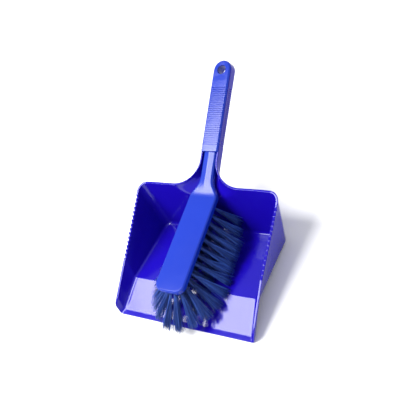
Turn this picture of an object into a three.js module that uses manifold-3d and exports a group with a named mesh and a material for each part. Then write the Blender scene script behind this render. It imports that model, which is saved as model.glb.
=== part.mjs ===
// A dust pan with a hand brush that nests in its channel handle.
// Millimetres, +Z up. X runs across the pan, Y from the mouth to the end of the handle.
// The pan and the brush are drawn with the mouth edge at Y = 0 and Z = 0, and the finished
// group is then moved so that the origin is the bottom centre of its box.
import * as THREE from "three";
import { mergeGeometries, mergeVertices } from "three/addons/utils/BufferGeometryUtils.js";
import Module from "manifold-3d";

const wasm = await Module();
wasm.setup();

// ---- Pan: plan and side profile ----
const WALL = 2.5; // floor and lower walls
const RIM_WALL = 3.5; // walls at the rim
const MOUTH_HALF = 110; // half width of the mouth edge
const FLOOR_HALF = 103.3; // half width of the floor behind the bend
const LIP_Y = 7.8; // depth of the flat land along the mouth edge
const LIP_EDGE = 1.6; // thickness at the mouth edge
const BEND_Y = 53; // where the apron meets the rear floor
const BEND_Z = 13.9; // height of the underside there
const HEEL_Y = 152; // front of the flat strip that the pan's heel stands on
const CREASE_Y = 160; // foot of the back wall
const FLOOR_CORNER = 14; // radius of the floor's rear corners
const BACK_Y = 176.1; // top edge of the back wall
const BACK_Z = 84.6;
const RIM_CORNER = 15; // radius of the rim's rear corners
const RIM_FRONT = { half: 114.4, y: 5.6, z: 16.7 };
const RIM_STEP = { half: 113.8, y: 67.4, z: 43.2 }; // front end of the serrated stretch
const RIM_BACK = { half: 116.6, y: BACK_Y, z: BACK_Z };
const TEETH_END_Y = 156;
const TEETH = 15; // notches along each side rim
const TOOTH_DEPTH = 3.2;
const TEETH_FLOOR_END = 140; // floor station under the last tooth
const CORNER_STEPS = 6;

// ---- Channel handle of the pan, measured along it from the top edge of the back wall ----
const HANDLE_TILT = THREE.MathUtils.degToRad(25);
const HANDLE_HALF = 14.1; // half width at the rim
const HANDLE_FOOT_HALF = 14; // half width at the bottom
const HANDLE_DEPTH = 14;
const HANDLE_CHAMFER = 2.5; // along the bottom edges
const FLARE_LENGTH = 36; // elliptical flare from the handle into the back wall
const FLARE_REACH = 40;
const FOOT_FLARE = 10;
const HOLE_S = 164.2; // hang hole, and centre of the round end
const HOLE_RADIUS = 6.7;
const END_STEPS = 7;
const OUTSIDE_START = -14; // both start inside the pan, in front of the back wall
const HOLLOW_START = -30;
const HOLLOW_KNEE = 1.5; // height of the straight foot of the hollow's sides
const CUT_ABOVE = 12; // how far cutting shapes reach above the rim

// ---- Brush ----
const FIT_GAP = 0.4; // between the grip and the channel
const GRIP_START = 46.9;
const GRIP_PROUD = 2.7; // grip face above the channel's rim
const GRIP_EDGE = 0.8; // edge bevel of the grip
const PLATE_HALF = 13.8; // half width of the grip's face plate, which lies over the rims
const RIB_COUNT = 28;
const RIB_PITCH = 3;
const RIB_START = 56.5;
const RIB_DEPTH = 0.9;
const RIB_HALF = 1.1;
const NECK_HALF = 9.9;
const NECK_TOP = -0.6; // just under the channel's rim
const NECK_DEPTH = 9;
const NECK_BEVEL = 2.4;
const HEAD_TILT = THREE.MathUtils.degToRad(5);
const HEAD_BASE_S = -13.9; // where the head's plane meets the handle's plane
const HEAD_HALF = 22;
const HEAD_TIP_HALF = 22.6;
const HEAD_LENGTH = 144;
const HEAD_CORNER = 12;
const HEAD_DEPTH = 9;
const HEAD_EDGE = 1.3;

// ---- Tufts: x across the head, d from its shoulders to its tip ----
const TUFT_RADIUS = 1.9;
const HOLE_GAP = 0.3;
const HOLE_DEPTH = 6;
const TUFT_SIDES = 8;
const ROW_PITCH = 12;
const OUTER_X = 15.5;
const INNER_X = 7.8;
const ROW_START = 12; // first tuft of the outer and middle rows
const ROW_END = 102;
const ARC_DEGREES = [8, 24, 40, 58, 80]; // outer tufts round the tip
const INNER_TIP_ROWS = [113, 124];
const MIDDLE_TIP_ROWS = [108, 119, 130];
const FAN_START = 105; // where the fan starts to turn round the tip
const FAN_LENGTH = 34;
const DROP = 42; // how far the ends hang below the head, and at its tip
const TIP_DROP = 32;
const SPREAD_START = { d: 8, out: 23 }; // how far the side tufts lean out, by d
const SPREAD_FULL = { d: 36, out: 37 };
const SPREAD_GAIN = { d: 80, out: 5 }; // and how much more up to the fan
const LEAN_START = { d: 13, reach: 0.5 }; // how far the side tufts lean towards the tip
const LEAN_MOST = { d: 33, reach: 8.7 };
const LEAN_END = { d: 85, reach: 4 };
const TIP_REACH = 44; // how far the front tufts lean forward
const TIP_HALF_WIDE = 4.2; // half width of a splayed tuft at its end
const TIP_HALF_THIN = 2.4;

// ---- Small helpers ----
const vector = (x, y, z) => new THREE.Vector3(x, y, z);
const lerp = THREE.MathUtils.lerp;
const clamp = THREE.MathUtils.clamp;

// Linear interpolation of a value through two stations of a profile.
function between(y, y0, v0, y1, v1) {
  return lerp(v0, v1, clamp((y - y0) / (y1 - y0), 0, 1));
}

function plastic(color, roughness) {
  return new THREE.MeshStandardMaterial({ color, roughness, metalness: 0 });
}

// A closed surface from four-sided faces, wound so that each one faces outwards.
class FaceList {
  constructor() {
    this.positions = [];
  }

  quad(a, b, c, d) {
    for (const p of [a, b, c, a, c, d]) this.positions.push(p.x, p.y, p.z);
  }

  // The same face on the right and, mirrored, on the left.
  pair(a, b, c, d) {
    this.quad(a, b, c, d);
    this.quad(mirrored(a), mirrored(d), mirrored(c), mirrored(b));
  }

  geometry() {
    const array = new THREE.Float32BufferAttribute(this.positions, 3);
    return new THREE.BufferGeometry().setAttribute("position", array);
  }
}

function mirrored(p) {
  return vector(-p.x, p.y, p.z);
}

// A closed loft through rings of equal length, each counter-clockwise about the way it travels.
function loft(rings) {
  const count = rings[0].length;
  const index = [];
  for (let r = 0; r + 1 < rings.length; r++) {
    for (let i = 0; i < count; i++) {
      const j = (i + 1) % count;
      const low = r * count;
      const high = low + count;
      index.push(low + i, low + j, high + j, low + i, high + j, high + i);
    }
  }
  const last = (rings.length - 1) * count;
  for (let i = 1; i + 1 < count; i++) {
    index.push(0, i + 1, i, last, last + i, last + i + 1);
  }
  const geometry = new THREE.BufferGeometry().setFromPoints(rings.flat());
  return geometry.setIndex(index);
}

function toSolid(geometry) {
  const bare = geometry.clone();
  bare.deleteAttribute("normal");
  bare.deleteAttribute("uv");
  const merged = mergeVertices(bare, 1e-4);
  return new wasm.Manifold(
    new wasm.Mesh({
      numProp: 3,
      vertProperties: new Float32Array(merged.attributes.position.array),
      triVerts: new Uint32Array(merged.index.array),
    }),
  );
}

function toGeometry(solid) {
  const mesh = solid.getMesh();
  return new THREE.BufferGeometry()
    .setAttribute("position", new THREE.BufferAttribute(mesh.vertProperties, 3))
    .setIndex(new THREE.BufferAttribute(mesh.triVerts, 1));
}

// Several separate closed shapes as one solid.
function toSolids(geometries) {
  return toSolid(mergeGeometries(geometries));
}

// ---- Frames of the handle and of the head ----
// s runs up the handle from the back wall's top edge, h is the height above the channel's rim.
const handleFrame = new THREE.Matrix4()
  .makeTranslation(0, BACK_Y, BACK_Z)
  .multiply(new THREE.Matrix4().makeRotationX(HANDLE_TILT));
const handlePoint = (x, s, h) => vector(x, s, h).applyMatrix4(handleFrame);

// d runs from the head's shoulders to its tip, h is the height above the head's top face.
const headBase = handlePoint(0, HEAD_BASE_S, NECK_TOP + 0.4);
const headFrame = new THREE.Matrix4()
  .makeTranslation(headBase.x, headBase.y, headBase.z)
  .multiply(new THREE.Matrix4().makeRotationX(HEAD_TILT));
const headPoint = (x, d, h) => vector(x, -d, h).applyMatrix4(headFrame);

// ---- Pan ----
function floorUnderside(y) {
  if (y < BEND_Y) return between(y, LIP_Y, 0, BEND_Y, BEND_Z);
  return between(y, BEND_Y, BEND_Z, HEEL_Y, 0);
}

function floorTop(y) {
  const lip = between(y, 0, LIP_EDGE, LIP_Y, WALL);
  return floorUnderside(y) + lip;
}

function floorHalf(y) {
  return between(y, 0, MOUTH_HALF, BEND_Y, FLOOR_HALF);
}

function rimHeight(y) {
  if (y < RIM_STEP.y) return between(y, RIM_FRONT.y, RIM_FRONT.z, RIM_STEP.y, RIM_STEP.z);
  return between(y, RIM_STEP.y, RIM_STEP.z, RIM_BACK.y, RIM_BACK.z);
}

function rimHalf(y) {
  if (y < RIM_STEP.y) return between(y, RIM_FRONT.y, RIM_FRONT.half, RIM_STEP.y, RIM_STEP.half);
  return between(y, RIM_STEP.y, RIM_STEP.half, RIM_BACK.y, RIM_BACK.half);
}

// One station of the wall: its outer and inner foot and its outer and inner rim.
function wallStation(footY, rimY, notch) {
  const foot = vector(floorHalf(footY), footY, floorUnderside(footY));
  const footIn = vector(foot.x - WALL, footY, floorTop(footY));
  const rim = vector(rimHalf(rimY), rimY, rimHeight(rimY));
  const rimIn = vector(rim.x - RIM_WALL, rimY, rim.z);
  const share = notch / rim.distanceTo(foot);
  return { foot, footIn, rim: rim.lerp(foot, share), rimIn: rimIn.lerp(footIn, share) };
}

// A station on the round rear corner, at an angle from the side wall towards the back wall.
function cornerStation(angle) {
  const out = Math.cos(angle);
  const back = Math.sin(angle);
  const footY = CREASE_Y - FLOOR_CORNER;
  const rimY = BACK_Y - RIM_CORNER;
  const place = (half, y, radius, height) => {
    const pointY = y + radius * back;
    return vector(half + radius * out, pointY, height(pointY));
  };
  const footX = FLOOR_HALF - FLOOR_CORNER;
  const rimX = rimHalf(rimY) - RIM_CORNER;
  return {
    foot: place(footX, footY, FLOOR_CORNER, floorUnderside),
    footIn: place(footX, footY, FLOOR_CORNER - WALL, floorTop),
    rim: place(rimX, rimY, RIM_CORNER, rimHeight),
    rimIn: place(rimX, rimY, RIM_CORNER - RIM_WALL, rimHeight),
  };
}

function wallStations() {
  const stations = [
    wallStation(0, RIM_FRONT.y, 0),
    wallStation(LIP_Y, 2 * LIP_Y, 0),
    wallStation((LIP_Y + BEND_Y) / 2, RIM_STEP.y / 2, 0),
  ];
  for (let k = 0; k <= 2 * TEETH; k++) {
    const t = k / (2 * TEETH);
    const footY = lerp(BEND_Y, TEETH_FLOOR_END, t);
    const rimY = lerp(RIM_STEP.y, TEETH_END_Y, t);
    stations.push(wallStation(footY, rimY, (k % 2) * TOOTH_DEPTH));
  }
  for (let k = 0; k <= CORNER_STEPS; k++) {
    stations.push(cornerStation((k / CORNER_STEPS) * (Math.PI / 2)));
  }
  return stations;
}

function traySolid() {
  const faces = new FaceList();
  const stations = wallStations();
  const first = stations[0];
  const last = stations.at(-1);
  faces.pair(first.footIn, first.foot, first.rim, first.rimIn);
  faces.quad(mirrored(first.foot), first.foot, first.footIn, mirrored(first.footIn));
  for (let i = 0; i + 1 < stations.length; i++) {
    const a = stations[i];
    const b = stations[i + 1];
    faces.pair(a.foot, b.foot, b.rim, a.rim);
    faces.pair(a.footIn, a.rimIn, b.rimIn, b.footIn);
    faces.pair(a.rim, b.rim, b.rimIn, a.rimIn);
    faces.quad(a.foot, mirrored(a.foot), mirrored(b.foot), b.foot);
    faces.quad(mirrored(a.footIn), a.footIn, b.footIn, mirrored(b.footIn));
  }
  faces.quad(last.foot, mirrored(last.foot), mirrored(last.rim), last.rim);
  faces.quad(mirrored(last.footIn), last.footIn, last.rimIn, mirrored(last.rimIn));
  faces.quad(last.rim, mirrored(last.rim), mirrored(last.rimIn), last.rimIn);
  return toSolid(faces.geometry());
}

// Half width of the handle's rim: straight, flared into the back wall, round at the end.
function handleHalf(s) {
  const t = clamp(1 - s / FLARE_LENGTH, 0, 1);
  const flare = FLARE_REACH * (1 - Math.sqrt(1 - t * t));
  return HANDLE_HALF + flare;
}

function handleFootHalf(s) {
  const t = clamp(1 - s / FLARE_LENGTH, 0, 1);
  return HANDLE_FOOT_HALF + FOOT_FLARE * t * t;
}

// Stations along the handle, with the share of its width that each keeps at the round end.
function handleStations(start, radius) {
  const flare = [start, -2, 0, 1, 3, 6, 10, 15, 20, 26, FLARE_LENGTH, HOLE_S];
  const stations = flare.map((s) => ({ s, share: 1 }));
  for (let k = 1; k <= END_STEPS; k++) {
    const angle = (k / (END_STEPS + 0.4)) * (Math.PI / 2);
    stations.push({ s: HOLE_S + radius * Math.sin(angle), share: Math.cos(angle) });
  }
  return stations;
}

function handleOutside() {
  const rings = handleStations(OUTSIDE_START, HANDLE_HALF).map(({ s, share }) => {
    const rim = handleHalf(s) * share;
    const foot = handleFootHalf(s) * share;
    const sole = foot - HANDLE_CHAMFER * share;
    const low = HANDLE_CHAMFER - HANDLE_DEPTH;
    return [
      handlePoint(rim, s, 0),
      handlePoint(foot, s, low),
      handlePoint(sole, s, -HANDLE_DEPTH),
      handlePoint(-sole, s, -HANDLE_DEPTH),
      handlePoint(-foot, s, low),
      handlePoint(-rim, s, 0),
    ];
  });
  return toSolid(loft(rings));
}

// The hollow of the channel, open at the top and into the pan.
function handleHollow() {
  const bottom = WALL - HANDLE_DEPTH;
  const knee = bottom + HOLLOW_KNEE;
  const rings = handleStations(HOLLOW_START, HANDLE_HALF - WALL).map(({ s, share }) => {
    const lean = (handleHalf(s) - handleFootHalf(s)) / (HANDLE_DEPTH - HANDLE_CHAMFER);
    const rim = (handleHalf(s) - WALL * Math.hypot(1, lean)) * share;
    const foot = (handleFootHalf(s) - WALL) * share;
    return [
      handlePoint(rim, s, CUT_ABOVE),
      handlePoint(rim, s, 0),
      handlePoint(foot, s, knee),
      handlePoint(foot, s, bottom),
      handlePoint(-foot, s, bottom),
      handlePoint(-foot, s, knee),
      handlePoint(-rim, s, 0),
      handlePoint(-rim, s, CUT_ABOVE),
    ];
  });
  return toSolid(loft(rings));
}

// Everything in front of the back wall's inner face, near the handle.
function backClearance() {
  const bite = 0.02;
  const half = 70;
  const low = 40;
  const high = 110;
  const front = 120;
  const innerY = (z) => {
    const t = (z - WALL) / (BACK_Z - WALL);
    return lerp(CREASE_Y - WALL, BACK_Y - RIM_WALL, t) + bite;
  };
  const ring = (x) => [
    vector(x, front, low),
    vector(x, innerY(low), low),
    vector(x, innerY(high), high),
    vector(x, front, high),
  ];
  return toSolid(loft([ring(-half), ring(half)]));
}

function hangHole() {
  const geometry = new THREE.CylinderGeometry(HOLE_RADIUS, HOLE_RADIUS, 4 * HANDLE_DEPTH, 24);
  geometry.rotateX(Math.PI / 2);
  geometry.translate(0, HOLE_S, 0);
  return toSolid(geometry.applyMatrix4(handleFrame));
}

function ribPlaces() {
  return Array.from({ length: RIB_COUNT }, (_, k) => RIB_START + k * RIB_PITCH);
}

// Upright grooves in both outer sides of the handle.
function sideGrooves() {
  const grooves = [];
  for (const s of ribPlaces()) {
    for (const side of [-1, 1]) {
      const ring = (h) => {
        const out = side * (HANDLE_HALF + 1);
        const deep = side * (lerp(HANDLE_HALF, HANDLE_FOOT_HALF, -h / HANDLE_DEPTH) - RIB_DEPTH);
        return [
          handlePoint(out, s - side * RIB_HALF, h),
          handlePoint(out, s + side * RIB_HALF, h),
          handlePoint(deep, s, h),
        ];
      };
      grooves.push(loft([ring(HANDLE_CHAMFER - HANDLE_DEPTH), ring(1)]));
    }
  }
  return toSolids(grooves);
}

function panGeometry() {
  const solid = traySolid()
    .add(handleOutside())
    .subtract(backClearance())
    .subtract(handleHollow())
    .subtract(hangHole())
    .subtract(sideGrooves());
  return toGeometry(solid);
}

// ---- Brush body ----
// A flat shape extruded downwards from a given height, with all its edges bevelled.
function slab(shape, top, depth, bevel, frame) {
  const geometry = new THREE.ExtrudeGeometry(shape, {
    depth: depth - 2 * bevel,
    bevelThickness: bevel,
    bevelSize: bevel,
    bevelSegments: 1,
    curveSegments: 8,
  });
  geometry.translate(0, 0, top - depth + bevel);
  return toSolid(geometry.applyMatrix4(frame));
}

function gripShape(outerHalf) {
  const half = outerHalf - GRIP_EDGE;
  const shape = new THREE.Shape();
  shape.moveTo(-half, GRIP_START + GRIP_EDGE);
  shape.lineTo(half, GRIP_START + GRIP_EDGE);
  shape.lineTo(half, HOLE_S);
  shape.absarc(0, HOLE_S, half, 0, Math.PI, false);
  shape.closePath();
  return shape;
}

// The neck narrows from the head's shoulders to a straight shank that runs into the grip.
function neckShape() {
  const shank = NECK_HALF - NECK_BEVEL;
  const shoulder = HEAD_HALF - NECK_BEVEL;
  const tail = HEAD_BASE_S - 2;
  const into = GRIP_START + 10;
  const curveEnd = 14;
  const shape = new THREE.Shape();
  shape.moveTo(-shoulder, tail);
  shape.lineTo(shoulder, tail);
  shape.lineTo(shoulder, HEAD_BASE_S);
  shape.bezierCurveTo(shoulder - 4, -5, shank, 0, shank, curveEnd);
  shape.lineTo(shank, into);
  shape.lineTo(-shank, into);
  shape.lineTo(-shank, curveEnd);
  shape.bezierCurveTo(-shank, 0, -shoulder + 4, -5, -shoulder, HEAD_BASE_S);
  shape.closePath();
  return shape;
}

function headShape() {
  const base = HEAD_HALF - HEAD_EDGE;
  const tip = HEAD_TIP_HALF - HEAD_EDGE;
  const end = -(HEAD_LENGTH - HEAD_EDGE);
  const corner = HEAD_CORNER - HEAD_EDGE;
  const bow = 1.2;
  const shape = new THREE.Shape();
  shape.moveTo(base, -HEAD_EDGE);
  shape.lineTo(-base, -HEAD_EDGE);
  shape.lineTo(-tip, end + corner);
  shape.quadraticCurveTo(-tip, end + bow, -tip + corner, end + bow / 2);
  shape.quadraticCurveTo(0, end - bow / 2, tip - corner, end + bow / 2);
  shape.quadraticCurveTo(tip, end + bow, tip, end + corner);
  shape.closePath();
  return shape;
}

// Grooves across the face of the grip.
function faceGrooves() {
  const reach = HANDLE_HALF;
  const above = GRIP_PROUD + 0.3;
  const grooves = ribPlaces().map((s) => {
    const ring = (x) => [
      handlePoint(x, s - RIB_HALF, above),
      handlePoint(x, s, GRIP_PROUD - RIB_DEPTH),
      handlePoint(x, s + RIB_HALF, above),
    ];
    return loft([ring(-reach), ring(reach)]);
  });
  return toSolids(grooves);
}

// ---- Tufts ----
// Where each tuft is set in the head, as x and d.
function tuftPlaces() {
  const places = [];
  const row = (x, start, end) => {
    for (let d = start; d <= end; d += ROW_PITCH) {
      places.push([x, d]);
      if (x > 0) places.push([-x, d]);
    }
  };
  row(OUTER_X, ROW_START, ROW_END);
  row(INNER_X, ROW_START + ROW_PITCH / 2, ROW_END);
  row(0, ROW_START, ROW_END);
  for (const degrees of ARC_DEGREES) {
    const angle = THREE.MathUtils.degToRad(degrees);
    const x = OUTER_X * Math.cos(angle);
    const d = FAN_START + (FAN_LENGTH - 2) * Math.sin(angle);
    places.push([x, d], [-x, d]);
  }
  for (const d of INNER_TIP_ROWS) places.push([INNER_X, d], [-INNER_X, d]);
  for (const d of MIDDLE_TIP_ROWS) places.push([0, d]);
  return places;
}

function tuftLean(d) {
  if (d < LEAN_MOST.d) {
    return between(d, LEAN_START.d, LEAN_START.reach, LEAN_MOST.d, LEAN_MOST.reach);
  }
  return between(d, LEAN_MOST.d, LEAN_MOST.reach, LEAN_END.d, LEAN_END.reach);
}

// Where a tuft's end hangs.
function tuftEnd(x, d) {
  const across = x / OUTER_X;
  const ahead = clamp((d - FAN_START) / FAN_LENGTH, 0, 1);
  const spread = between(d, SPREAD_START.d, SPREAD_START.out, SPREAD_FULL.d, SPREAD_FULL.out);
  const gain = between(d, SPREAD_GAIN.d, 0, FAN_START, SPREAD_GAIN.out);
  const side = spread + gain * (1 - ahead * ahead);
  const forward = lerp(tuftLean(d), TIP_REACH, ahead);
  const drop = lerp(DROP, TIP_DROP, ahead);
  return headPoint(x + side * across, d + forward, -HEAD_DEPTH - drop);
}

// A ring of points round a centre, with half widths along two directions.
function ringAt(centre, wide, thin) {
  return Array.from({ length: TUFT_SIDES }, (_, i) => {
    const angle = ((i + 0.5) / TUFT_SIDES) * 2 * Math.PI;
    const point = centre.clone().addScaledVector(wide, Math.cos(angle));
    return point.addScaledVector(thin, Math.sin(angle));
  });
}

const headAcross = vector(1, 0, 0);
const headAlong = vector(0, 1, 0).transformDirection(headFrame);
const headDown = vector(0, 0, -1).transformDirection(headFrame);

// A tuft: a round root in its hole, splayed flat along the edge of the brush at its end.
function tuftGeometry(x, d) {
  const root = headPoint(x, d, HOLE_GAP - HEAD_DEPTH + HOLE_DEPTH);
  const mouth = headPoint(x, d, -HEAD_DEPTH);
  const end = tuftEnd(x, d);
  const way = end.clone().sub(mouth).normalize();
  const outwards = vector(way.x, way.y, 0);
  const spreadWay = vector(-outwards.y, outwards.x, 0);
  if (outwards.length() < 0.05) spreadWay.set(0, 1, 0);
  spreadWay.addScaledVector(way, -spreadWay.dot(way)).normalize();
  const thinWay = way.clone().cross(spreadWay);
  const square = (centre) => {
    const across = headAcross.clone().multiplyScalar(TUFT_RADIUS);
    return ringAt(centre, across, headAlong.clone().multiplyScalar(-TUFT_RADIUS));
  };
  const turned = (centre, halfWide, halfThin) => {
    const wide = spreadWay.clone().multiplyScalar(halfWide);
    return ringAt(centre, wide, thinWay.clone().multiplyScalar(halfThin));
  };
  const middle = mouth.clone().lerp(end, 0.5);
  return loft([
    square(root.clone().addScaledVector(headDown, 2 * HOLE_GAP)),
    square(mouth.clone().addScaledVector(headDown, HOLE_GAP)),
    turned(middle, (TUFT_RADIUS + TIP_HALF_WIDE) / 2, TUFT_RADIUS),
    turned(end, TIP_HALF_WIDE, TIP_HALF_THIN),
  ]);
}

function tuftHoles(places) {
  const radius = TUFT_RADIUS + HOLE_GAP;
  const holes = places.map(([x, d]) => {
    const length = 2 * HOLE_DEPTH;
    const hole = new THREE.CylinderGeometry(radius, radius, length, TUFT_SIDES);
    hole.rotateX(Math.PI / 2);
    hole.translate(x, -d, HOLE_DEPTH - HEAD_DEPTH - length / 2);
    return hole.applyMatrix4(headFrame);
  });
  return toSolids(holes);
}

function brushBodyGeometry(places) {
  const gripDepth = GRIP_PROUD + HANDLE_DEPTH - WALL - FIT_GAP;
  const innerHalf = HANDLE_HALF - WALL - FIT_GAP;
  const plateDepth = GRIP_PROUD - FIT_GAP;
  const solid = slab(headShape(), 0, HEAD_DEPTH, HEAD_EDGE, headFrame)
    .add(slab(neckShape(), NECK_TOP, NECK_DEPTH, NECK_BEVEL, handleFrame))
    .add(slab(gripShape(innerHalf), GRIP_PROUD, gripDepth, GRIP_EDGE, handleFrame))
    .add(slab(gripShape(PLATE_HALF), GRIP_PROUD, plateDepth, GRIP_EDGE, handleFrame))
    .subtract(hangHole())
    .subtract(faceGrooves())
    .subtract(tuftHoles(places));
  return toGeometry(solid);
}

// ---- Assembly ----
const panPlastic = plastic(0x2a22c8, 0.25);
const brushPlastic = plastic(0x3c5ae6, 0.4);
const filament = plastic(0x1e3c8c, 0.5);

function part(name, geometry, material) {
  const mesh = new THREE.Mesh(geometry, material);
  mesh.name = name;
  return mesh;
}

function brush() {
  const group = new THREE.Group();
  const places = tuftPlaces();
  group.add(part("brush_body", brushBodyGeometry(places), brushPlastic));
  places.forEach(([x, d], i) => {
    const name = "tuft_" + String(i + 1).padStart(2, "0");
    group.add(part(name, tuftGeometry(x, d), filament.clone()));
  });
  return group;
}

const set = new THREE.Group();
set.add(part("pan", panGeometry(), panPlastic), brush());

const box = new THREE.Box3().setFromObject(set, true);
const centre = box.getCenter(vector(0, 0, 0));
set.position.set(0, -centre.y, -box.min.z);

export default set;
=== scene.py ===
import math
import random

import bmesh
import bpy
from mathutils import Matrix, Vector


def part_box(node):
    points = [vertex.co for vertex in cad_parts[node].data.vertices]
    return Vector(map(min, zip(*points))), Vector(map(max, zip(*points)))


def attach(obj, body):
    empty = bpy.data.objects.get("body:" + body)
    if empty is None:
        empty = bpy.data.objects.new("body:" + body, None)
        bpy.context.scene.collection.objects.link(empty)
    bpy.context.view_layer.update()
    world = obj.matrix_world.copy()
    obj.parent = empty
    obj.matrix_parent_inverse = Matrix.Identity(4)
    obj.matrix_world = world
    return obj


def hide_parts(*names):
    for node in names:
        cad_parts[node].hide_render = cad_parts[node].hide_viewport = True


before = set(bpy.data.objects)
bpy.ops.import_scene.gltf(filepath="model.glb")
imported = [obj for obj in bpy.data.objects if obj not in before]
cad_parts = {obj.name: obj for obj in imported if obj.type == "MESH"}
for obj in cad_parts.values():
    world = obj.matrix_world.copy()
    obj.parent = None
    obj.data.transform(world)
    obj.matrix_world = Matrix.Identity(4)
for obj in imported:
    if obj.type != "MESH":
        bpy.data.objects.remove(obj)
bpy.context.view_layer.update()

PAN_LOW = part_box("pan")[0]

# Millimetres below, measured as the CAD is: X across, Y from the mouth edge, Z from the table.
# to_frame() puts such a point in the shared frame, in metres.
MM = 0.001
WELD = 0.004
SHARP_DEGREES = 38
CORNER_SHARE = 0.48  # most of a straight that one rounded corner may take


def to_frame(point):
    return Vector((point.x * MM, PAN_LOW.y + point.y * MM, PAN_LOW.z + point.z * MM))


# ---- Pan dimensions ----
WALL = 2.5
RIM_WALL = 3.5
MOUTH_HALF = 110
FLOOR_HALF = 103.3
LIP_Y = 7.8
LIP_EDGE = 1.6
MOUTH_WALL = 0.9
BEND_Y = 53
BEND_Z = 13.9
BEND_SOFT = 1.2
HEEL_Y = 152
CREASE_Y = 160
FLOOR_CORNER = 14
BACK_Y = 176.1
BACK_Z = 84.6
RIM_CORNER = 15
RIM_FRONT = (114.4, 5.6, 16.7)
RIM_STEP = (113.8, 67.4, 43.2)
RIM_BACK = (116.6, BACK_Y, BACK_Z)
TEETH = 15
TEETH_END_Y = 156
TEETH_FLOOR_END = 140
TOOTH_DEPTH = 3.2
TOOTH_SHAPE = [0.0, 0.12, 0.62, 1.0, 0.62, 0.12]
FOOT_ROUND = 5
FOOT_ROUND_IN = 4.5
RIM_ROUND = 0.9
FRONT_ROUND = 4.5  # upper front corner of each side wall
FRONT_LEAN = 1.2
RIM_OVER_LIP = 15.2  # where the rim is above the back of the lip
APRON_STATIONS = (6.2, LIP_Y, 9.4, 14, 22, 30, 38, 45, 49.5, 51.4, 52.2)
LAST_SIDE_STATION = (143, 158.5)
FRONT_STEPS = 5
CORNER_STEPS = 10
BACK_STEPS = 5

# ---- Handle dimensions ----
HANDLE_TILT = math.radians(25)
HANDLE_HALF = 14.1
HANDLE_FOOT_HALF = 14
HANDLE_DEPTH = 14
FLARE_LENGTH = 36
FLARE_REACH = 40
HOLE_S = 164.2
HOLE_RADIUS = 6.7
SOLE_ROUND = 3
HOLLOW_ROUND = 1.5
FLARE_X = HANDLE_HALF + FLARE_REACH
ARCH_DEPTH_OUT = 27  # how far below the rim the handle's flare starts
ARCH_DEPTH_IN = 24
ARCH_POWER = 1.15
FLARE_LEAVE = (22.1, 6.5)  # curve handles of the flare, at the rim and in the middle
FLARE_ARRIVE = (19.9, 40)
FLARE_STEPS = 20
PLAIN_HANDLE = (FLARE_LENGTH, 42, 49)  # places before the ribs
HANDLE_LAST = 146
APPROACH_S = 152  # where the sections start to close in on the hang hole
APPROACH_STEPS = 8
END_STEPS = 12

# ---- Brush dimensions ----
FIT_GAP = 0.4
GRIP_START = 46.9
GRIP_PROUD = 2.7
PLATE_HALF = 13.8
RIB_COUNT = 28
RIB_PITCH = 3
RIB_START = 56.5
RIB_DEPTH = 0.9
RIB_HALF = 0.27  # of the pitch
RIB_SLOPE = 0.12
RIB_MARGIN = 0.6
RIB_FIRST = RIB_START - RIB_PITCH / 2
RIB_LAST = RIB_FIRST + RIB_COUNT * RIB_PITCH
NECK_HALF = 9.9
NECK_SINK = 0.4
NECK_DEPTH = 9
HEAD_TILT = math.radians(5)
HEAD_BASE_S = -13.9
HEAD_BASE_H = -0.2
HEAD_HALF = 22
HEAD_TIP_HALF = 22.6
HEAD_LENGTH = 144
HEAD_CORNER = 12
HEAD_DEPTH = 9
BEND_REACH = 6
HEAD_BOW = 1.2
TIP_MIDDLE_Q = HEAD_TIP_HALF * 0.9 - HEAD_LENGTH  # where the tip's rings meet
SHOULDER_Q = -3.0
SHOULDER_POINT = (0.12, 1.6)  # in from the head's side, on from SHOULDER_Q
SHOULDER_CURVE = ((0.9, 0.6), (5, 9))
NECK_CURVE_Q = 12
TIP_STEPS = 6
HEAD_CORNER_STEPS = 10
HEAD_SIDE_STEPS = 8
SHOULDER_STEPS = 14
NECK_STEPS = 5
NECK_START = 14 - HEAD_BASE_S
COLLAR = GRIP_START - HEAD_BASE_S
NECK_BLEND = (2, 22)  # start and length of the change from head to neck
HEAD_BEVEL = 1.6
NECK_BEVEL = 2.2
LOW_BEVEL = 1.2
NECK_RIDGE = 1.5
HEAD_CROWN = 0.25
HEAD_EDGE = 1.4
NECK_EDGE = 0.5
TONGUE_TOP = 1.2
TONGUE_BEVEL = 0.4
PLATE_BEVEL = 1.9
PLATE_CROWN = 0.35
PLATE_FALL = (155, 22)  # start and length of the fall of 1 mm towards the round end
GRIP_EDGE = 0.6
GRIP_LOW_BEVEL = 0.3
COLLAR_EDGE = ((0, 0.7), (0.25, 0.2))  # on from the collar, in from the full width
PLAIN_GRIP = (GRIP_START + 0.8, 50, 53)  # places before the ribs
PLAIN_GRIP_END = (143, 147, 150)

# ---- Tufts ----
TUFT_RADIUS = 1.9
HOLE_DEPTH = 6
ROW_PITCH = 12
OUTER_X = 15.5
INNER_X = 7.8
ROW_START = 12
ROW_END = 102
ARC_DEGREES = [8, 24, 40, 58, 80]
INNER_TIP_ROWS = [113, 124]
MIDDLE_TIP_ROWS = [108, 119, 130]
FAN_START = 105
FAN_LENGTH = 34
DROP = 42
TIP_DROP = 32
SPREAD_START = (8, 23)
SPREAD_FULL = (36, 37)
SPREAD_GAIN = (80, 5)
LEAN_START = (13, 0.5)
LEAN_MOST = (33, 8.7)
LEAN_END = (85, 4)
TIP_REACH = 44
FILAMENTS = 90
FILAMENT_RADIUS = 0.30
FILAMENT_STEPS = 8
FILAMENT_SIDES = 3
FILAMENT_TAPER = 0.72
ROOT_RADIUS = TUFT_RADIUS - 0.35
FAN_MARGIN = 2
SPLAY_WIDE = 5.6
SPLAY_THIN = 3.2
WANDER_WIDE = 0.9
WANDER_THIN = 0.6
STRAY_SPLAY = 1.9
STRAY_SHARE = 0.25
STRAY_SHARE_TIP = 0.5
TIP_EXTRA = 3.5
UNEVEN = 3.0
BOW = 0.5
ROOT_PULL = 0.22
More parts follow.
